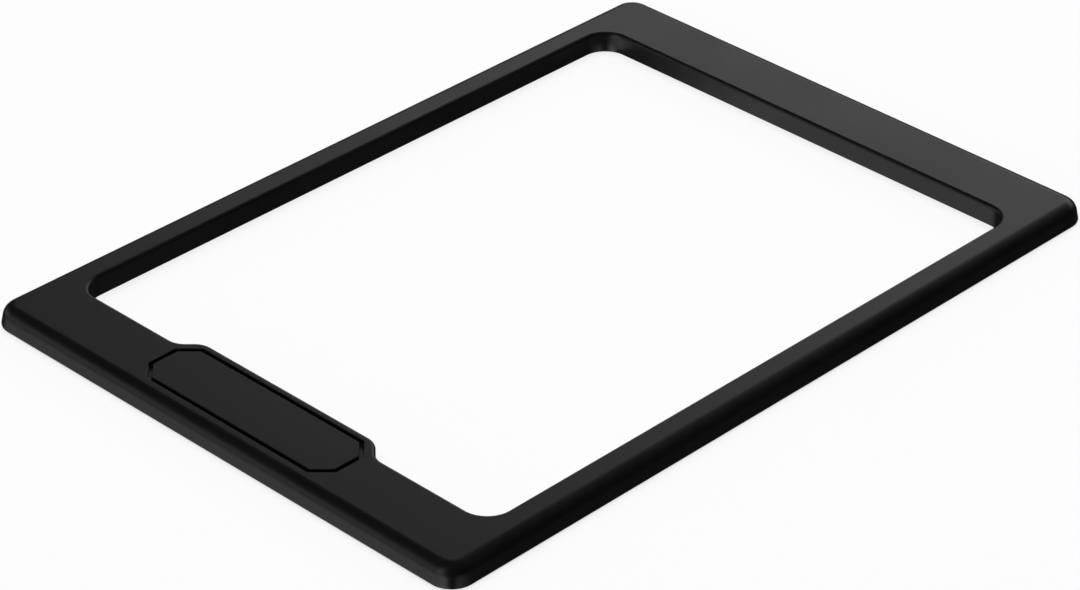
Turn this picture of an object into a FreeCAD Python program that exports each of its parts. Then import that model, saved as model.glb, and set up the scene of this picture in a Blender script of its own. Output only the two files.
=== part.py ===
import FreeCAD, Part
import math
import os

"""Height spacer frame for a 2.5 inch drive: one moulded plastic piece.

A flat rectangular frame with the outline of the drive lies on its cover and
makes up the height that a thin drive lacks in a taller drive slot. The outer
sides lean inwards under a large round, the opening is crisp, and the front
rail carries an engraved panel that stands into the opening on a low tab.

Frame: the origin is the middle of the underside. X runs across the frame,
Y along it with the panel at the negative end, and Z points up.
"""

# Outer body
frame_length = 100.0
frame_width = 70.0
frame_height = 2.5
outer_corner_radius = 2.8
outer_side_draft = 12.0
outer_top_round = 1.5
underside_edge_round = 0.3

# Opening
side_rail_width = 4.0
end_rail_width = 8.9
opening_corner_radius = 3.0
opening_top_round = 0.4

# Tab on the front rail
tab_reach = 2.1
tab_face_width = 26.0
tab_flank_angle = 45.0
tab_root_radius = 2.5
tab_tip_radius = 2.5

# Engraved panel on the front rail and its tab
panel_end_overhang = 1.0
panel_tab_margin = 1.1
panel_front_margin = 0.9
panel_corner_cut = 1.9
groove_width = 0.5
groove_depth = 0.5

# The least that the large outer round leaves of the side's height and of the corner's radius
side_land = 0.2


def tangent_outline(corners):
    """A closed flat wire through corners of (x, y, radius), each rounded by a tangent arc."""
    edges = []
    ends = []
    count = len(corners)
    for index in range(count):
        x, y, radius = corners[index]
        corner = FreeCAD.Vector(x, y, 0)
        before = FreeCAD.Vector(*corners[index - 1][:2], 0) - corner
        after = FreeCAD.Vector(*corners[(index + 1) % count][:2], 0) - corner
        before.normalize()
        after.normalize()
        if radius == 0:
            ends.append((corner, corner))
            continue
        half_angle = before.getAngle(after) / 2
        set_back = radius / math.tan(half_angle)
        start = corner + before * set_back
        finish = corner + after * set_back
        bisector = before + after
        bisector.normalize()
        middle = corner + bisector * (radius / math.sin(half_angle) - radius)
        edges.append(Part.Arc(start, middle, finish).toShape())
        ends.append((start, finish))
    for index in range(count):
        edges.append(Part.LineSegment(ends[index - 1][1], ends[index][0]).toShape())
    return Part.Wire(Part.__sortEdges__(edges))


def prism(wire, bottom, top):
    """The solid inside a flat wire, from one height to another."""
    face = Part.Face(wire)
    face.translate(FreeCAD.Vector(0, 0, bottom))
    return face.extrude(FreeCAD.Vector(0, 0, top - bottom))


def edges_at_height(shape, height):
    """The edges that lie flat at one height."""
    tolerance = 1e-6
    found = []
    for edge in shape.Edges:
        box = edge.BoundBox
        if abs(box.ZMin - height) < tolerance and abs(box.ZMax - height) < tolerance:
            found.append(edge)
    return found


def outer_outline(height):
    """The leaning sides' outline at one height, as it is before its edges are rounded."""
    inset = height * math.tan(draft) - foot_overhang
    x = frame_width / 2 - inset
    y = frame_length / 2 - inset
    radius = outer_corner_radius - inset
    outline = tangent_outline([(-x, -y, radius), (x, -y, radius), (x, y, radius), (-x, y, radius)])
    outline.translate(FreeCAD.Vector(0, 0, height))
    return outline


def outer_body():
    """The slab inside the leaning sides, with its rounds on the top and the underside."""
    slab = Part.makeLoft([outer_outline(0), outer_outline(frame_height)], True, True)
    slab = slab.makeFillet(top_round, edges_at_height(slab, frame_height))
    return slab.makeFillet(underside_edge_round, edges_at_height(slab, 0))


def opening_outline():
    """The opening as seen from above, with the tab standing into its front side."""
    x = frame_width / 2 - side_rail_width
    back = frame_length / 2 - end_rail_width
    tip = tab_face_width / 2
    root = tip + tab_reach / math.tan(math.radians(tab_flank_angle))
    corner = opening_corner_radius
    return tangent_outline([
        (-x, -back, corner),
        (-root, -back, tab_root_radius),
        (-tip, tab_face, tab_tip_radius),
        (tip, tab_face, tab_tip_radius),
        (root, -back, tab_root_radius),
        (x, -back, corner),
        (x, back, corner),
        (-x, back, corner),
    ])


def panel_outline(offset):
    """The panel's eight-sided outline, moved outwards from the groove's centre line by an offset."""
    x = tab_face_width / 2 + panel_end_overhang + offset
    back = tab_face - panel_tab_margin + offset
    front = -frame_length / 2 + flat_inset + panel_front_margin - offset
    cut = panel_corner_cut + offset * (2 - math.sqrt(2))
    return tangent_outline([
        (-x + cut, front, 0),
        (x - cut, front, 0),
        (x, front + cut, 0),
        (x, back - cut, 0),
        (x - cut, back, 0),
        (-x + cut, back, 0),
        (-x, back - cut, 0),
        (-x, front + cut, 0),
    ])


def panel_groove():
    """The ring that is engraved into the top to draw the panel's outline."""
    bottom = frame_height - groove_depth
    above = frame_height + groove_depth
    outside = prism(panel_outline(groove_width / 2), bottom, above)
    inside = prism(panel_outline(-groove_width / 2), bottom, above)
    return outside.cut(inside)


def spacer_frame():
    """The whole frame: the rounded slab, opened, with its inner edge softened and its panel cut."""
    frame = outer_body().cut(prism(opening_outline(), -frame_height, 2 * frame_height))
    inner_edges = []
    half_width = frame_width / 2 - side_rail_width
    half_length = frame_length / 2 - end_rail_width
    margin = opening_top_round / 2
    for edge in edges_at_height(frame, frame_height):
        box = edge.BoundBox
        inside_x = max(-box.XMin, box.XMax) < half_width + margin
        inside_y = max(-box.YMin, box.YMax) < half_length + margin
        if inside_x and inside_y:
            inner_edges.append(edge)
    frame = frame.makeFillet(opening_top_round, inner_edges)
    return frame.cut(panel_groove())


# The sides lean. Their foot round brings the widest line in from where a sharp foot would be
draft = math.radians(outer_side_draft)
foot_overhang = underside_edge_round * ((1 + math.sin(draft)) * math.tan(draft) - (1 - math.cos(draft)))
sharp_top_inset = frame_height * math.tan(draft) - foot_overhang

# The large round ends above the underside round and inside the corner radius
round_run = math.tan((math.pi / 2 - draft) / 2)
top_round = min(
    outer_top_round,
    frame_height - underside_edge_round - side_land,
    (outer_corner_radius - sharp_top_inset - side_land) / round_run,
)
flat_inset = sharp_top_inset + top_round * round_run
tab_face = -frame_length / 2 + end_rail_width + tab_reach

os.makedirs("parts", exist_ok=True)
spacer_frame().exportStep("parts/spacer_frame.step")
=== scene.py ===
import math

import bpy
from bpy.props import FloatProperty, FloatVectorProperty, IntProperty, PointerProperty
from bpy.types import Operator, Panel, PropertyGroup
from mathutils import Matrix, Vector


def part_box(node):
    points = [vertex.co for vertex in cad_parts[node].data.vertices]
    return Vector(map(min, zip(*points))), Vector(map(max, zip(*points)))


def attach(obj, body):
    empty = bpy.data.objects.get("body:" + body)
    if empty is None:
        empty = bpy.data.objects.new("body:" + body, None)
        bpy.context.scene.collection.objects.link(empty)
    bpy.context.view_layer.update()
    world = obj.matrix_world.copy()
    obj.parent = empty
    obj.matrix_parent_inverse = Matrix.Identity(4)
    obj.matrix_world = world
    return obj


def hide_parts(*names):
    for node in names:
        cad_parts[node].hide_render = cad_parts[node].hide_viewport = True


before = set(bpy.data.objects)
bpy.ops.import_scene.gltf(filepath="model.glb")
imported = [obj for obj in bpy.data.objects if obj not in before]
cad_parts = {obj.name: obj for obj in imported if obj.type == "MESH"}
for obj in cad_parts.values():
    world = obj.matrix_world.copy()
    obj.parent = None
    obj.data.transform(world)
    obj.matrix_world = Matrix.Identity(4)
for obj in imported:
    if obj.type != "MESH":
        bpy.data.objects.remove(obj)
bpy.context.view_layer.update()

bl_info = {
    "name": "Drive Height Spacer Frame",
    "version": (1, 0, 0),
    "blender": (4, 5, 0),
    "location": "3D View > Sidebar > Spacer Frame",
    "description": "Makes a moulded height spacer frame for a 2.5 inch drive, and a studio round it",
    "category": "Object",
}

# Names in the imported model
FRAME_NODE = "spacer_frame"
FRAME_BODY = "root"

# The tree works in millimetres, because its merging and filling need numbers of that size. Each swept
# section carries a lip of the flat face beside it, and the caps fill what lies between the lips
TO_MILLIMETRES = 1000.0
LIP = 0.02
RIM_TOLERANCE = 0.0005
MERGE_DISTANCE = 0.001

# In metres
FLOOR_GAP = 0.00002
FLOOR_REACH = 3.0
FLOOR_TOOTH = 0.0004
BACKDROP_RADIUS = 5.0
OVERHEAD_SIZE = 2.4
OVERHEAD_HEIGHT = 1.8
SCREEN_DISTANCE = 1.3
RING_RADIUS = 8.0
RING_HEIGHT = -1.0

# In degrees
SHARP_EDGE = 35.0
PANEL_CORNER_TURN = 45.0
RING_STEP = 15.0

# Share of the roughness's spread that comes from the patches. The grain gives the rest
PATCH_SHARE = 0.6

WHITE = (1.0, 1.0, 1.0, 1.0)

node_low, node_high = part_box(FRAME_NODE)
node_size = node_high - node_low


def length_property(name, description, default):
    """A length in metres that the sidebar shows in the scene's units."""
    return FloatProperty(
        name=name,
        description=description,
        default=default,
        min=0.0,
        precision=5,
        subtype="DISTANCE",
        unit="LENGTH",
    )


def angle_property(name, description, degrees):
    """An angle, given here in degrees."""
    return FloatProperty(
        name=name,
        description=description,
        default=math.radians(degrees),
        subtype="ANGLE",
        unit="ROTATION",
    )


def factor_property(name, description, default):
    """A share from 0 to 1."""
    return FloatProperty(
        name=name,
        description=description,
        default=default,
        min=0.0,
        max=1.0,
        subtype="FACTOR",
    )


def colour_property(name, description, default):
    """A colour, in linear light."""
    return FloatVectorProperty(
        name=name,
        description=description,
        default=default,
        size=3,
        min=0.0,
        max=1.0,
        subtype="COLOR",
    )


def steps_property(name, description, default):
    """A number of steps along a round."""
    return IntProperty(name=name, description=description, default=default, min=2)


class SpacerFrameSizes(PropertyGroup):
    """The sizes of the moulded frame."""

    length: length_property("Length", "Overall length, along Y", node_size.y)
    width: length_property("Width", "Overall width, along X", node_size.x)
    height: length_property("Height", "Thickness of the frame", node_size.z)
    corner_radius: length_property("Corner Radius", "Radius of the outline's corners", 0.0028)
    side_draft: angle_property("Side Draft", "Lean of the outer sides from upright", 12.0)
    outer_round: length_property("Outer Round", "Round along the outer top edge", 0.0015)
    underside_round: length_property("Underside Round", "Round along the outer bottom edge", 0.0003)
    side_rail: length_property("Side Rail", "Width of the two long rails", 0.004)
    end_rail: length_property("End Rail", "Width of the two short rails", 0.0089)
    opening_radius: length_property("Opening Radius", "Radius of the opening's corners", 0.003)
    opening_round: length_property("Opening Round", "Round along the opening's top edge", 0.0004)
    opening_foot: length_property("Opening Foot", "Round along the opening's bottom edge", 0.00006)
    tab_width: length_property("Tab Width", "Width of the tab's face", 0.026)
    tab_reach: length_property("Tab Reach", "How far the tab stands into the opening", 0.0021)
    tab_root_radius: length_property("Tab Root Radius", "Radius where the tab leaves the rail", 0.0025)
    tab_tip_radius: length_property("Tab Tip Radius", "Radius of the tab's two tips", 0.0025)
    panel_overhang: length_property("Panel Overhang", "Panel's reach past the tab's face", 0.001)
    panel_tab_margin: length_property("Panel Tab Margin", "From the tab's face to the groove", 0.0011)
    panel_front_margin: length_property("Panel Front Margin", "From the outer round to the groove", 0.0009)
    panel_corner_cut: length_property("Panel Corner Cut", "Cut across each corner of the panel", 0.0019)
    groove_width: length_property("Groove Width", "Width of the groove round the panel", 0.0005)
    groove_depth: length_property("Groove Depth", "Depth of the groove round the panel", 0.0005)
    groove_round: length_property("Groove Round", "Round on the groove's edges", 0.00006)
    corner_steps: steps_property("Corner Steps", "Steps round each corner", 16)
    round_steps: steps_property("Round Steps", "Steps over each large round", 16)
    small_steps: steps_property("Small Round Steps", "Steps over each small round", 6)


class SpacerFrameFinish(PropertyGroup):
    """The finish of the black plastic."""

    colour: colour_property("Colour", "Colour of the plastic", (0.0020, 0.0020, 0.0021))
    handled_colour: colour_property("Handled Colour", "Colour where handled", (0.0027, 0.0027, 0.0028))
    roughness: factor_property("Roughness", "Roughness of the moulded skin", 0.36)
    roughness_spread: factor_property("Roughness Spread", "How far the roughness varies", 0.05)
    gloss: factor_property("Gloss", "Strength of the gloss, which the grain's pits lessen", 0.35)
    grain_size: length_property("Grain Size", "Size of the grain left by the mould", 0.00012)
    grain_height: length_property("Grain Height", "Height of the grain left by the mould", 0.0000015)
    patch_size: length_property("Patch Size", "Size of the patches of uneven sheen", 0.012)


class StudioSettings(PropertyGroup):
    """The studio's camera and light."""

    camera_azimuth: angle_property("Camera Azimuth", "Turn of the camera from straight in front", 44.061)
    camera_elevation: angle_property("Camera Elevation", "Rise of the camera over the floor", 32.086)
    camera_roll: angle_property("Camera Roll", "Turn of the camera about its own axis", 0.3644)
    camera_distance: length_property("Camera Distance", "From the camera to its target", 0.43009)
    camera_lens: FloatProperty(
        name="Camera Lens",
        description="Focal length in millimetres",
        default=132.537,
        subtype="DISTANCE_CAMERA",
    )
    target_x: FloatProperty(
        name="Target X", description="The target's place along X", default=0.0026818, unit="LENGTH"
    )
    target_y: FloatProperty(
        name="Target Y", description="The target's place along Y", default=-0.0046152, unit="LENGTH"
    )
    floor_colour: colour_property("Floor Colour", "Colour of the floor", (0.96, 0.96, 0.96))
    floor_white: factor_property("Floor White", "Share of white that the camera sees in the floor", 0.7)
    world_colour: colour_property("Room Colour", "Colour of the dim room around", (0.03, 0.03, 0.03))
    top_light: FloatProperty(
        name="Top Light", description="Power of the large soft light above", default=42.5, unit="POWER"
    )
    back_light: FloatProperty(
        name="Back Light", description="Brightness of the softbox behind", default=1.98, min=0.0
    )
    board_light: FloatProperty(
        name="Board Light", description="Brightness of the board in front", default=0.74, min=0.0
    )
    strip_light: FloatProperty(
        name="Strip Light", description="Brightness of the upright strip in front", default=1.9, min=0.0
    )


class Number:
    """A number inside a node tree. Sums and products of numbers add Math nodes."""

    def __init__(self, tree, source):
        self.tree = tree
        self.source = source

    def worked_out(self, operation, first, second):
        node = add(self.tree, "ShaderNodeMath", {0: first, 1: second}, operation=operation)
        return Number(self.tree, node.outputs[0])

    def __add__(self, other):
        return self.worked_out("ADD", self, other)

    def __sub__(self, other):
        return self.worked_out("SUBTRACT", self, other)

    def __rsub__(self, other):
        return self.worked_out("SUBTRACT", other, self)

    def __mul__(self, other):
        return self.worked_out("MULTIPLY", self, other)

    def __truediv__(self, other):
        return self.worked_out("DIVIDE", self, other)

    def __neg__(self):
        return self.worked_out("MULTIPLY", self, -1.0)

    def sine(self):
        return self.worked_out("SINE", self, 0.0)

    def cosine(self):
        return self.worked_out("COSINE", self, 0.0)

    def tangent(self):
        return self.worked_out("TANGENT", self, 0.0)


def put(tree, value, socket):
    """Feeds a socket with a worked number, another node's output or a plain value."""
    if isinstance(value, Number):
        value = value.source
    if isinstance(value, bpy.types.NodeSocket):
        tree.links.new(value, socket)
    else:
        socket.default_value = value


def add(tree, kind, inputs=None, **settings):
    """Adds a node with these settings, and feeds its inputs by name or by place."""
    node = tree.nodes.new(kind)
    for name, value in settings.items():
        setattr(node, name, value)
    for key, value in (inputs or {}).items():
        put(tree, value, node.inputs[key])
    return node


def add_socket(tree, name, kind, way="INPUT", default=None):
    """Adds a named socket to a node group."""
    socket = tree.interface.new_socket(name=name, in_out=way, socket_type=kind)
    if default is not None:
        socket.default_value = default
    return socket


def rounded_curve(tree, corners, steps, closed):
    """A flat curve through corners of (x, y, radius), each rounded by an arc of that many steps.

    Without a number of steps the corners stay sharp.
    """
    index = add(tree, "GeometryNodeInputIndex").outputs["Index"]
    places = add(tree, "GeometryNodeIndexSwitch", data_type="VECTOR")
    radii = add(tree, "GeometryNodeIndexSwitch", data_type="FLOAT")
    for switch in (places, radii):
        put(tree, index, switch.inputs["Index"])
        # A new switch has two items already
        for _ in corners[2:]:
            switch.index_switch_items.new()
    for place, (x, y, radius) in enumerate(corners, start=1):
        point = add(tree, "ShaderNodeCombineXYZ", {"X": x, "Y": y})
        put(tree, point.outputs["Vector"], places.inputs[place])
        put(tree, radius, radii.inputs[place])
    line = add(tree, "GeometryNodeMeshLine", {"Count": len(corners)})
    placed = add(
        tree,
        "GeometryNodeSetPosition",
        {"Geometry": line.outputs["Mesh"], "Position": places.outputs["Output"]},
    )
    curve = add(tree, "GeometryNodeMeshToCurve", {"Mesh": placed.outputs["Geometry"]})
    looped = add(
        tree,
        "GeometryNodeSetSplineCyclic",
        {"Geometry": curve.outputs["Curve"], "Cyclic": closed},
    )
    if steps is None:
        return looped.outputs["Geometry"]
    rounded = add(
        tree,
        "GeometryNodeFilletCurve",
        {
            "Curve": looped.outputs["Geometry"],
            "Count": steps,
            "Radius": radii.outputs["Output"],
            "Limit Radius": False,
        },
        mode="POLY",
    )
    return rounded.outputs["Curve"]


def section(tree, corners, steps):
    """An open section for a sweep, through corners of (distance inwards, height, radius)."""
    curve = rounded_curve(tree, corners, steps, False)
    turned = add(
        tree,
        "GeometryNodeTransform",
        {"Geometry": curve, "Rotation": (0.0, 0.0, math.pi)},
    )
    return turned.outputs["Geometry"]


def swept(tree, path, profile):
    """The open surface that a section makes along a level path."""
    level = add(tree, "GeometryNodeSetCurveNormal", {"Curve": path}, mode="Z_UP")
    surface = add(
        tree,
        "GeometryNodeCurveToMesh",
        {"Curve": level.outputs["Curve"], "Profile Curve": profile, "Fill Caps": False},
    )
    return surface.outputs["Mesh"]


def capped(tree, surfaces, height, is_top):
    """The flat face between the open rims that the surfaces have at one height."""
    neighbours = add(tree, "GeometryNodeInputMeshEdgeNeighbors")
    rim = add(
        tree,
        "FunctionNodeCompare",
        {"A": neighbours.outputs["Face Count"], "B": 1},
        data_type="INT",
        operation="EQUAL",
    )
    position = add(tree, "GeometryNodeInputPosition")
    place = add(tree, "ShaderNodeSeparateXYZ", {"Vector": position.outputs["Position"]})
    level = add(
        tree,
        "FunctionNodeCompare",
        {"A": place.outputs["Z"], "B": height, "Epsilon": RIM_TOLERANCE},
        data_type="FLOAT",
        operation="EQUAL",
    )
    chosen = add(
        tree,
        "FunctionNodeBooleanMath",
        {0: rim.outputs["Result"], 1: level.outputs["Result"]},
        operation="AND",
    )
    rims = add(
        tree,
        "GeometryNodeMeshToCurve",
        {"Mesh": surfaces, "Selection": chosen.outputs["Boolean"]},
    )
    filled = add(tree, "GeometryNodeFillCurve", {"Curve": rims.outputs["Curve"]}, mode="TRIANGLES")
    lift = add(tree, "ShaderNodeCombineXYZ", {"Z": height})
    lifted = add(
        tree,
        "GeometryNodeTransform",
        {"Geometry": filled.outputs["Mesh"], "Translation": lift.outputs["Vector"]},
    ).outputs["Geometry"]
    if is_top:
        return lifted
    return add(tree, "GeometryNodeFlipFaces", {"Mesh": lifted}).outputs["Mesh"]


def joined(tree, parts):
    """Several geometries as one."""
    node = add(tree, "GeometryNodeJoinGeometry")
    for part in parts:
        tree.links.new(part, node.inputs["Geometry"])
    return node.outputs["Geometry"]


def settings_of(group_type):
    """The properties of a property group that the user can set, in order."""
    found = []
    for prop in group_type.bl_rna.properties:
        if prop.identifier not in {"rna_type", "name"}:
            found.append(prop)
    return found


def frame_tree():
    """The node tree that moulds the frame from its sizes."""
    tree = bpy.data.node_groups.new("Spacer Frame Body", "GeometryNodeTree")
    add_socket(tree, "Geometry", "NodeSocketGeometry", way="OUTPUT")
    for prop in settings_of(SpacerFrameSizes):
        kind = "NodeSocketInt" if prop.type == "INT" else "NodeSocketFloat"
        add_socket(tree, prop.name, kind, default=prop.default)
    add_socket(tree, "Material", "NodeSocketMaterial")
    given = add(tree, "NodeGroupInput").outputs

    def size(name):
        return Number(tree, given[name]) * TO_MILLIMETRES

    corner_steps = given["Corner Steps"]
    round_steps = given["Round Steps"]
    small_steps = given["Small Round Steps"]
    height = size("Height")
    half_width = size("Width") / 2.0
    half_length = size("Length") / 2.0
    corner = size("Corner Radius")
    outer_round = size("Outer Round")
    underside_round = size("Underside Round")

    # The outer side, from the top over the large round and down the lean to the underside. The foot's
    # round brings the widest line in, so a sharp foot would stand out by the overhang
    draft = Number(tree, given["Side Draft"])
    lean = draft.tangent()
    overhang = underside_round * ((draft.sine() + 1.0) * lean + draft.cosine() - 1.0)
    sharp_top = height * lean - overhang
    round_run = (math.pi / 4.0 - draft / 2.0).tangent()
    flat_inset = sharp_top + outer_round * round_run
    outer_path = rounded_curve(tree, [
        (-half_width, -half_length, corner),
        (half_width, -half_length, corner),
        (half_width, half_length, corner),
        (-half_width, half_length, corner),
    ], corner_steps, True)
    outer_section = section(tree, [
        (flat_inset + LIP, height, 0.0),
        (sharp_top, height, outer_round),
        (-overhang, 0.0, underside_round),
        (underside_round + LIP, 0.0, 0.0),
    ], round_steps)
    outer_side = swept(tree, outer_path, outer_section)

    # The opening's wall, with the tab standing into the front side
    x = half_width - size("Side Rail")
    back = half_length - size("End Rail")
    tip = size("Tab Width") / 2.0
    root = tip + size("Tab Reach")
    tab_face = size("Tab Reach") - back
    opening_radius = size("Opening Radius")
    root_radius = size("Tab Root Radius")
    tip_radius = size("Tab Tip Radius")
    opening_path = rounded_curve(tree, [
        (-x, -back, opening_radius),
        (-root, -back, root_radius),
        (-tip, tab_face, tip_radius),
        (tip, tab_face, tip_radius),
        (root, -back, root_radius),
        (x, -back, opening_radius),
        (x, back, opening_radius),
        (-x, back, opening_radius),
    ], corner_steps, True)
    opening_round = size("Opening Round")
    opening_foot = size("Opening Foot")
    opening_section = section(tree, [
        (-(opening_round + LIP), height, 0.0),
        (0.0, height, opening_round),
        (0.0, 0.0, opening_foot),
        (-(opening_foot + LIP), 0.0, 0.0),
    ], small_steps)
    opening_wall = add(
        tree,
        "GeometryNodeFlipFaces",
        {"Mesh": swept(tree, opening_path, opening_section)},
    ).outputs["Mesh"]

    # The groove round the panel. The sweep narrows it where its path turns, which the width makes up
    panel_x = tip + size("Panel Overhang")
    panel_back = tab_face - size("Panel Tab Margin")
    panel_front = flat_inset + size("Panel Front Margin") - half_length
    cut = size("Panel Corner Cut")
    panel_path = rounded_curve(tree, [
        (-panel_x + cut, panel_front, 0.0),
        (panel_x - cut, panel_front, 0.0),
        (panel_x, panel_front + cut, 0.0),
        (panel_x, panel_back - cut, 0.0),
        (panel_x - cut, panel_back, 0.0),
        (-panel_x + cut, panel_back, 0.0),
        (-panel_x, panel_back - cut, 0.0),
        (-panel_x, panel_front + cut, 0.0),
    ], None, True)
    half_groove = size("Groove Width") / (2.0 * math.cos(math.radians(PANEL_CORNER_TURN / 2.0)))
    groove_round = size("Groove Round")
    groove_bottom = height - size("Groove Depth")
    groove_lip = half_groove + groove_round + LIP
    groove_section = section(tree, [
        (-groove_lip, height, 0.0),
        (-half_groove, height, groove_round),
        (-half_groove, groove_bottom, groove_round),
        (half_groove, groove_bottom, groove_round),
        (half_groove, height, groove_round),
        (groove_lip, height, 0.0),
    ], small_steps)
    groove = add(
        tree,
        "GeometryNodeFlipFaces",
        {"Mesh": swept(tree, panel_path, groove_section)},
    ).outputs["Mesh"]

    surfaces = joined(tree, [outer_side, opening_wall, groove])
    top = capped(tree, surfaces, height, True)
    underside = capped(tree, surfaces, Number(tree, 0.0), False)
    whole = joined(tree, [surfaces, top, underside])
    merged = add(tree, "GeometryNodeMergeByDistance", {"Geometry": whole, "Distance": MERGE_DISTANCE})
    rounded = add(
        tree,
        "GeometryNodeSetShadeSmooth",
        {"Geometry": merged.outputs["Geometry"], "Shade Smooth": True},
        domain="FACE",
    )
    turn = add(tree, "GeometryNodeInputMeshEdgeAngle")
    is_sharp = add(
        tree,
        "FunctionNodeCompare",
        {"A": turn.outputs["Unsigned Angle"], "B": math.radians(SHARP_EDGE)},
        data_type="FLOAT",
        operation="GREATER_THAN",
    )
    creased = add(
        tree,
        "GeometryNodeSetShadeSmooth",
        {
            "Geometry": rounded.outputs["Geometry"],
            "Selection": is_sharp.outputs["Result"],
            "Shade Smooth": False,
        },
        domain="EDGE",
    )
    in_metres = add(
        tree,
        "GeometryNodeTransform",
        {"Geometry": creased.outputs["Geometry"], "Scale": (1.0 / TO_MILLIMETRES,) * 3},
    )
    realized = add(tree, "GeometryNodeRealizeInstances", {"Geometry": in_metres.outputs["Geometry"]})
    dressed = add(
        tree,
        "GeometryNodeSetMaterial",
        {"Geometry": realized.outputs["Geometry"], "Material": given["Material"]},
    )
    add(tree, "NodeGroupOutput", {"Geometry": dressed.outputs["Geometry"]})
    return tree


def spark_grain_group():
    """Shader group: the fine even grain that a spark-eroded mould leaves, as a height and a mask."""
    tree = bpy.data.node_groups.new("Spark Grain", "ShaderNodeTree")
    add_socket(tree, "Vector", "NodeSocketVector")
    add_socket(tree, "Grain Size", "NodeSocketFloat", default=0.00012)
    add_socket(tree, "Height", "NodeSocketFloat", way="OUTPUT")
    add_socket(tree, "Mask", "NodeSocketFloat", way="OUTPUT")
    given = add(tree, "NodeGroupInput").outputs
    scale = Number(tree, 1.0) / Number(tree, given["Grain Size"])
    pits = add(
        tree,
        "ShaderNodeTexNoise",
        {"Vector": given["Vector"], "Scale": scale, "Detail": 2.0, "Roughness": 0.65},
    )
    height = Number(tree, pits.outputs["Fac"])
    mask = add(
        tree,
        "ShaderNodeMapRange",
        {"Value": height, "From Min": 0.4, "From Max": 0.6},
        interpolation_type="SMOOTHSTEP",
    )
    out = add(tree, "NodeGroupOutput")
    put(tree, height, out.inputs["Height"])
    put(tree, mask.outputs["Result"], out.inputs["Mask"])
    return tree


def soft_patches_group():
    """Shader group: broad soft patches from 0 to 1, for handling, flow marks and uneven sheen."""
    tree = bpy.data.node_groups.new("Soft Patches", "ShaderNodeTree")
    add_socket(tree, "Vector", "NodeSocketVector")
    add_socket(tree, "Patch Size", "NodeSocketFloat", default=0.012)
    add_socket(tree, "Factor", "NodeSocketFloat", way="OUTPUT")
    given = add(tree, "NodeGroupInput").outputs
    scale = Number(tree, 1.0) / Number(tree, given["Patch Size"])
    broad = add(
        tree,
        "ShaderNodeTexNoise",
        {
            "Vector": given["Vector"],
            "Scale": scale,
            "Detail": 3.0,
            "Roughness": 0.5,
            "Distortion": 0.6,
        },
    )
    spread = add(
        tree,
        "ShaderNodeMapRange",
        {"Value": broad.outputs["Fac"], "From Min": 0.3, "From Max": 0.7},
        interpolation_type="SMOOTHSTEP",
    )
    out = add(tree, "NodeGroupOutput")
    put(tree, spread.outputs["Result"], out.inputs["Factor"])
    return tree


def new_material(name):
    """An empty node material, and its output node."""
    material = bpy.data.materials.new(name)
    material.use_nodes = True
    material.node_tree.nodes.clear()
    output = add(material.node_tree, "ShaderNodeOutputMaterial")
    return material, output


def use_group(tree, name, make, inputs):
    """Adds a shared shader group, made when it is first asked for."""
    node = tree.nodes.new("ShaderNodeGroup")
    node.node_tree = bpy.data.node_groups.get(name) or make()
    for key, value in inputs.items():
        put(tree, value, node.inputs[key])
    return node.outputs


def frame_plastic(finish):
    """Black moulded plastic: an even satin skin with fine grain and slightly uneven sheen."""
    material, output = new_material("Frame Plastic")
    tree = material.node_tree
    place = add(tree, "ShaderNodeTexCoord").outputs["Object"]
    grain = use_group(tree, "Spark Grain", spark_grain_group, {
        "Vector": place,
        "Grain Size": finish.grain_size,
    })
    sheen = use_group(tree, "Soft Patches", soft_patches_group, {
        "Vector": place,
        "Patch Size": finish.patch_size,
    })
    colour = add(tree, "ShaderNodeMix", data_type="RGBA")
    put(tree, sheen["Factor"], colour.inputs["Factor"])
    put(tree, (*finish.colour, 1.0), colour.inputs["A"])
    put(tree, (*finish.handled_colour, 1.0), colour.inputs["B"])
    smooth_end = finish.roughness - finish.roughness_spread / 2.0
    uneven = Number(tree, sheen["Factor"]) * (finish.roughness_spread * PATCH_SHARE)
    pitted = Number(tree, grain["Mask"]) * (finish.roughness_spread * (1.0 - PATCH_SHARE))
    roughness = uneven + pitted + smooth_end
    bump = add(tree, "ShaderNodeBump", {
        "Strength": 1.0,
        "Distance": finish.grain_height,
        "Height": grain["Height"],
    })
    shader = add(tree, "ShaderNodeBsdfPrincipled", {
        "Base Color": colour.outputs["Result"],
        "Roughness": roughness,
        "IOR": 1.5,
        "Specular IOR Level": finish.gloss,
        "Normal": bump.outputs["Normal"],
    })
    put(tree, shader.outputs["BSDF"], output.inputs["Surface"])
    return material


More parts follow.
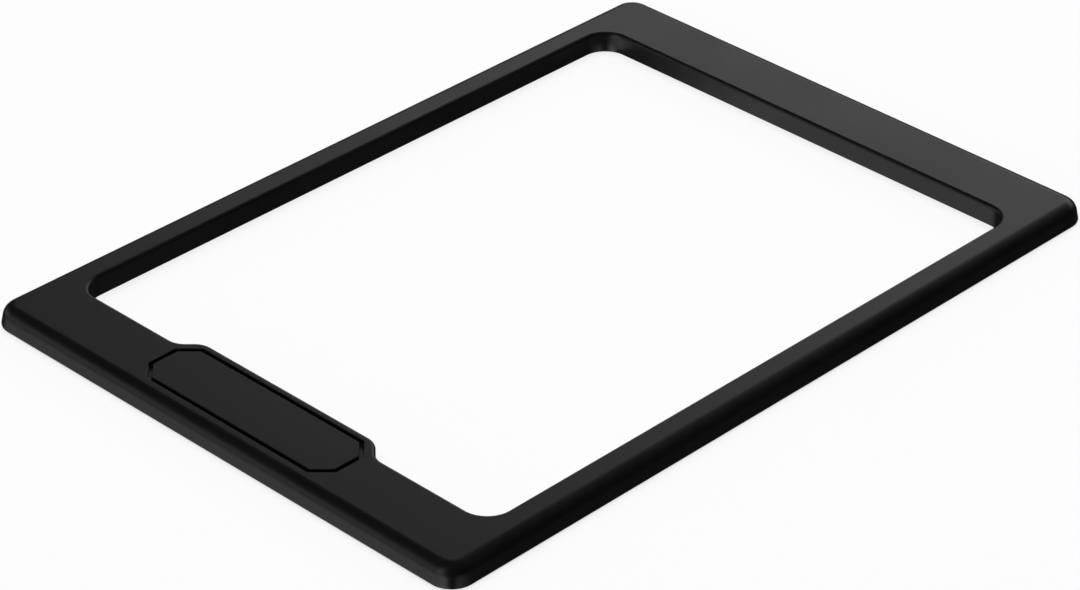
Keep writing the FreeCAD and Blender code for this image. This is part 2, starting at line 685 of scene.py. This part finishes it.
def floor_paper(studio):
    """Pale matt paper with a faint tooth, lifted towards white for the camera. Its back isn't seen."""
    material, output = new_material("Floor Paper")
    tree = material.node_tree
    place = add(tree, "ShaderNodeTexCoord").outputs["Object"]
    tooth = use_group(tree, "Spark Grain", spark_grain_group, {
        "Vector": place,
        "Grain Size": FLOOR_TOOTH,
    })
    bump = add(tree, "ShaderNodeBump", {
        "Strength": 0.3,
        "Distance": 0.00001,
        "Height": tooth["Height"],
    })
    paper = add(tree, "ShaderNodeBsdfPrincipled", {
        "Base Color": (*studio.floor_colour, 1.0),
        "Roughness": 0.9,
        "Specular IOR Level": 0.0,
        "Normal": bump.outputs["Normal"],
    })
    white = add(tree, "ShaderNodeEmission", {"Color": WHITE, "Strength": 1.0})
    to_camera = Number(tree, add(tree, "ShaderNodeLightPath").outputs["Is Camera Ray"])
    lifted = add(tree, "ShaderNodeMixShader")
    put(tree, to_camera * studio.floor_white, lifted.inputs[0])
    put(tree, paper.outputs["BSDF"], lifted.inputs[1])
    put(tree, white.outputs["Emission"], lifted.inputs[2])
    clear = add(tree, "ShaderNodeBsdfTransparent")
    back = add(tree, "ShaderNodeNewGeometry").outputs["Backfacing"]
    mixed = add(tree, "ShaderNodeMixShader")
    put(tree, back, mixed.inputs[0])
    put(tree, lifted.outputs["Shader"], mixed.inputs[1])
    put(tree, clear.outputs["BSDF"], mixed.inputs[2])
    put(tree, mixed.outputs["Shader"], output.inputs["Surface"])
    return material


def glow(name, strength):
    """A material that gives plain white light."""
    material, output = new_material(name)
    tree = material.node_tree
    shader = add(tree, "ShaderNodeEmission", {"Color": WHITE, "Strength": strength})
    put(tree, shader.outputs["Emission"], output.inputs["Surface"])
    return material


def faded_glow(name, strength, inner, outer, stretch, rest=0.0):
    """White light that fades to the rest between two distances from the card's own origin.

    The stretch scales the distances along the card's axes.
    """
    material = glow(name, strength)
    tree = material.node_tree
    place = add(tree, "ShaderNodeTexCoord").outputs["Object"]
    squeezed = add(
        tree,
        "ShaderNodeVectorMath",
        {0: place, 1: stretch},
        operation="MULTIPLY",
    )
    away = add(tree, "ShaderNodeVectorMath", {0: squeezed.outputs["Vector"]}, operation="LENGTH")
    fade = add(tree, "ShaderNodeMapRange", {
        "Value": away.outputs["Value"],
        "From Min": inner,
        "From Max": outer,
        "To Min": strength,
        "To Max": rest,
    }, interpolation_type="SMOOTHSTEP")
    put(tree, fade.outputs["Result"], tree.nodes["Emission"].inputs["Strength"])
    return material


def new_object(name, data):
    """Adds an object to the scene."""
    item = bpy.data.objects.new(name, data)
    bpy.context.scene.collection.objects.link(item)
    return item


def flat_card(name, corners, material):
    """A flat card through corners that run anticlockwise as seen from its front."""
    mesh = bpy.data.meshes.new(name)
    mesh.from_pydata(corners, [], [tuple(range(len(corners)))])
    mesh.materials.append(material)
    return new_object(name, mesh)


def rectangle(left, right, bottom, top, height=0.0):
    """Corners of a rectangle in the XY plane, or at a height over it."""
    return [
        (left, bottom, height),
        (right, bottom, height),
        (right, top, height),
        (left, top, height),
    ]


def ring_sector(first, last):
    """Corners of a sector of the ring of cards, between two angles from +X towards +Y in degrees."""
    steps = math.ceil((last - first) / RING_STEP)
    corners = [(0.0, 0.0, RING_HEIGHT)]
    for step in range(steps + 1):
        turn = math.radians(first + (last - first) * step / steps)
        corners.append((RING_RADIUS * math.cos(turn), RING_RADIUS * math.sin(turn), RING_HEIGHT))
    return corners


def seen_only_by(item, *kinds):
    """Hides an object from every kind of ray but these."""
    for kind in ("camera", "diffuse", "glossy", "transmission", "volume_scatter", "shadow"):
        setattr(item, "visible_" + kind, kind in kinds)


def direction(azimuth, elevation):
    """The unit vector at these degrees: round from +Y towards -X, and up from the horizon."""
    turn = math.radians(azimuth)
    rise = math.radians(elevation)
    level = math.cos(rise)
    return Vector((-math.sin(turn) * level, math.cos(turn) * level, math.sin(rise)))


def screen_place(azimuth, elevation):
    """The matrix that stands a screen in this direction, square to the frame and with its Y upwards."""
    place = direction(azimuth, elevation) * SCREEN_DISTANCE
    turn = (-place).to_track_quat("-Z", "Y")
    return Matrix.Translation(place) @ turn.to_matrix().to_4x4()


class SPACERFRAME_OT_build_frame(Operator):
    """Mould the spacer frame from its sizes, and give it its black plastic"""

    bl_idname = "spacer_frame.build_frame"
    bl_label = "Build Frame"

    def execute(self, context):
        sizes = context.scene.spacer_frame_sizes
        tree = frame_tree()
        material = frame_plastic(context.scene.spacer_frame_finish)
        body = new_object("spacer_frame_body", bpy.data.meshes.new("spacer_frame_body"))
        modifier = body.modifiers.new("Moulding", "NODES")
        modifier.node_group = tree
        values = {prop.name: getattr(sizes, prop.identifier) for prop in settings_of(SpacerFrameSizes)}
        values["Material"] = material
        for item in tree.interface.items_tree:
            if item.in_out == "INPUT":
                modifier[item.identifier] = values[item.name]
        even = body.modifiers.new("Even Shading", "WEIGHTED_NORMAL")
        even.keep_sharp = True
        evaluated = body.evaluated_get(context.evaluated_depsgraph_get())
        moulded = bpy.data.meshes.new_from_object(evaluated)
        body.modifiers.clear()
        body.data = moulded
        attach(body, FRAME_BODY)
        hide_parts(FRAME_NODE)
        return {"FINISHED"}


class SPACERFRAME_OT_build_stage(Operator):
    """Set up the pale floor, the soft light and the camera"""

    bl_idname = "spacer_frame.build_stage"
    bl_label = "Build Studio"

    def execute(self, context):
        studio = context.scene.spacer_frame_studio
        context.scene.view_settings.view_transform = "Standard"

        world = bpy.data.worlds.new("Studio World")
        world.use_nodes = True
        background = world.node_tree.nodes["Background"]
        background.inputs["Color"].default_value = (*studio.world_colour, 1.0)
        background.inputs["Strength"].default_value = 1.0
        context.scene.world = world

        # The floor lies a hair below the frame, so that the two faces stay apart. The plastic doesn't
        # mirror it, but the cards below it
        outline = rectangle(-FLOOR_REACH, FLOOR_REACH, -FLOOR_REACH, FLOOR_REACH, height=-FLOOR_GAP)
        floor = flat_card("Floor", outline, floor_paper(studio))
        floor.visible_glossy = False

        # A white shell behind everything, for the camera alone
        bpy.ops.mesh.primitive_uv_sphere_add(segments=48, ring_count=24, radius=BACKDROP_RADIUS)
        shell = context.object
        shell.name = "Backdrop"
        shell.data.materials.append(glow("Backdrop White", 1.0))
        seen_only_by(shell, "camera")

        # The large soft light above, which the plastic doesn't mirror
        lamp = bpy.data.lights.new("Overhead Light", "AREA")
        lamp.shape = "SQUARE"
        lamp.size = OVERHEAD_SIZE
        lamp.energy = studio.top_light
        above = new_object("Overhead Light", lamp)
        above.matrix_world = Matrix.Translation((0.0, 0.0, OVERHEAD_HEIGHT))
        above.visible_glossy = False

        # The softbox behind and to the left, which the flat top mirrors
        cloth = faded_glow(
            "Softbox Cloth", studio.back_light, inner=0.287, outer=0.74, stretch=(0.575, 2.85, 1.0)
        )
        box = flat_card("Softbox", rectangle(left=-1.3, right=1.3, bottom=-0.27, top=0.27), cloth)
        box.matrix_world = screen_place(azimuth=20.2, elevation=25.3)
        box.visible_camera = False

        # The white board in front and to the left, which the front side mirrors
        paint = faded_glow(
            "White Board", studio.board_light, inner=0.619, outer=0.706, stretch=(0.0, 1.0, 0.0)
        )
        board = flat_card("White Board", rectangle(left=-1.5, right=2.6, bottom=0.0, top=0.71), paint)
        board.matrix_world = screen_place(azimuth=142.0, elevation=0.0)
        board.visible_camera = False

        # The upright strip in front, which only the near corner mirrors
        gauze = faded_glow(
            "Strip Cloth", studio.strip_light, inner=0.15, outer=0.45, stretch=(1.0, 0.2, 0.0)
        )
        strip = flat_card("Strip Light", rectangle(left=-0.45, right=0.45, bottom=0.0, top=2.25), gauze)
        strip.matrix_world = screen_place(azimuth=175.0, elevation=0.0)
        seen_only_by(strip, "glossy")

        # The sides mirror a ring of cards far below the floor, which no other ray sees. Each card has the
        # angle where it starts, from +X towards +Y, and its brightness, and it ends where the next starts
        ring = (
            ("Dark Card On The Left", -205.0, 0.05),
            ("Pale Card In Front", -152.0, 0.88),
            ("White Card In Front", -125.0, 1.4),
            ("Bright Card In Front", -92.0, 2.8),
            ("Grey Card At The Corner", -62.0, 0.1),
            ("Pale Card At The Corner", -30.0, 1.0),
            ("Grey Card On The Right", 0.0, 0.4),
            ("Dark Card Behind", 25.0, 0.06),
        )
        ends = [start for _, start, _ in ring[1:]] + [ring[0][1] + 360.0]
        for (name, start, brightness), finish in zip(ring, ends):
            card = flat_card(name, ring_sector(start, finish), glow(name, brightness))
            seen_only_by(card, "glossy")

        # The left end of the opening's back wall mirrors a darker card that lies on the floor before it.
        # The card is a painted shadow of the frame on the floor, darkest by the left wall and fading away
        # from it, and only reflections see it
        shade = faded_glow(
            "Painted Floor Shadow At The Back Wall", 0.15, inner=0.003, outer=0.026, stretch=(1.0, 0.0, 0.0), rest=0.95
        )
        outline = rectangle(left=0.002, right=0.026, bottom=-0.006, top=0.0, height=-FLOOR_GAP / 2.0)
        painted_floor_shadow = flat_card("Painted Floor Shadow At The Back Wall", outline, shade)
        painted_floor_shadow.location = (-0.031, 0.041, 0.0)
        seen_only_by(painted_floor_shadow, "glossy")

        # The camera stands at the photograph's viewing angle
        turn = studio.camera_azimuth
        rise = studio.camera_elevation
        level = math.cos(rise)
        backwards = Vector((math.sin(turn) * level, -math.cos(turn) * level, math.sin(rise)))
        right = Vector((math.cos(turn), math.sin(turn), 0.0))
        up = backwards.cross(right)
        roll = studio.camera_roll
        side = right * math.cos(roll) + up * math.sin(roll)
        top = up * math.cos(roll) - right * math.sin(roll)
        target = Vector((studio.target_x, studio.target_y, 0.0))
        place = target + backwards * studio.camera_distance
        view = bpy.data.cameras.new("Camera")
        view.lens = studio.camera_lens
        view.clip_start = 0.01
        view.clip_end = 20.0
        camera = new_object("Camera", view)
        axes = Matrix((side, top, backwards)).transposed()
        camera.matrix_world = Matrix.Translation(place) @ axes.to_4x4()
        context.scene.camera = camera
        return {"FINISHED"}


class SPACERFRAME_PT_sidebar(Panel):
    """The spacer frame's sizes, finish and studio"""

    bl_idname = "SPACERFRAME_PT_sidebar"
    bl_label = "Spacer Frame"
    bl_space_type = "VIEW_3D"
    bl_region_type = "UI"
    bl_category = "Spacer Frame"

    def draw(self, context):
        layout = self.layout
        scene = context.scene
        groups = (
            ("Sizes", scene.spacer_frame_sizes, SPACERFRAME_OT_build_frame),
            ("Finish", scene.spacer_frame_finish, None),
            ("Studio", scene.spacer_frame_studio, SPACERFRAME_OT_build_stage),
        )
        for title, group, operator in groups:
            box = layout.box()
            box.label(text=title)
            for prop in settings_of(type(group)):
                box.prop(group, prop.identifier)
            if operator:
                box.operator(operator.bl_idname)


CLASSES = (
    SpacerFrameSizes,
    SpacerFrameFinish,
    StudioSettings,
    SPACERFRAME_OT_build_frame,
    SPACERFRAME_OT_build_stage,
    SPACERFRAME_PT_sidebar,
)


def register():
    """Registers the classes and hangs their settings on the scene."""
    for item in CLASSES:
        bpy.utils.register_class(item)
    bpy.types.Scene.spacer_frame_sizes = PointerProperty(type=SpacerFrameSizes)
    bpy.types.Scene.spacer_frame_finish = PointerProperty(type=SpacerFrameFinish)
    bpy.types.Scene.spacer_frame_studio = PointerProperty(type=StudioSettings)


def unregister():
    """Takes the settings off the scene and the classes out again."""
    del bpy.types.Scene.spacer_frame_studio
    del bpy.types.Scene.spacer_frame_finish
    del bpy.types.Scene.spacer_frame_sizes
    for item in reversed(CLASSES):
        bpy.utils.unregister_class(item)


def main():
    """Registers the add-on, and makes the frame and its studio."""
    register()
    bpy.ops.spacer_frame.build_frame()
    bpy.ops.spacer_frame.build_stage()


if __name__ == "__main__":
    main()
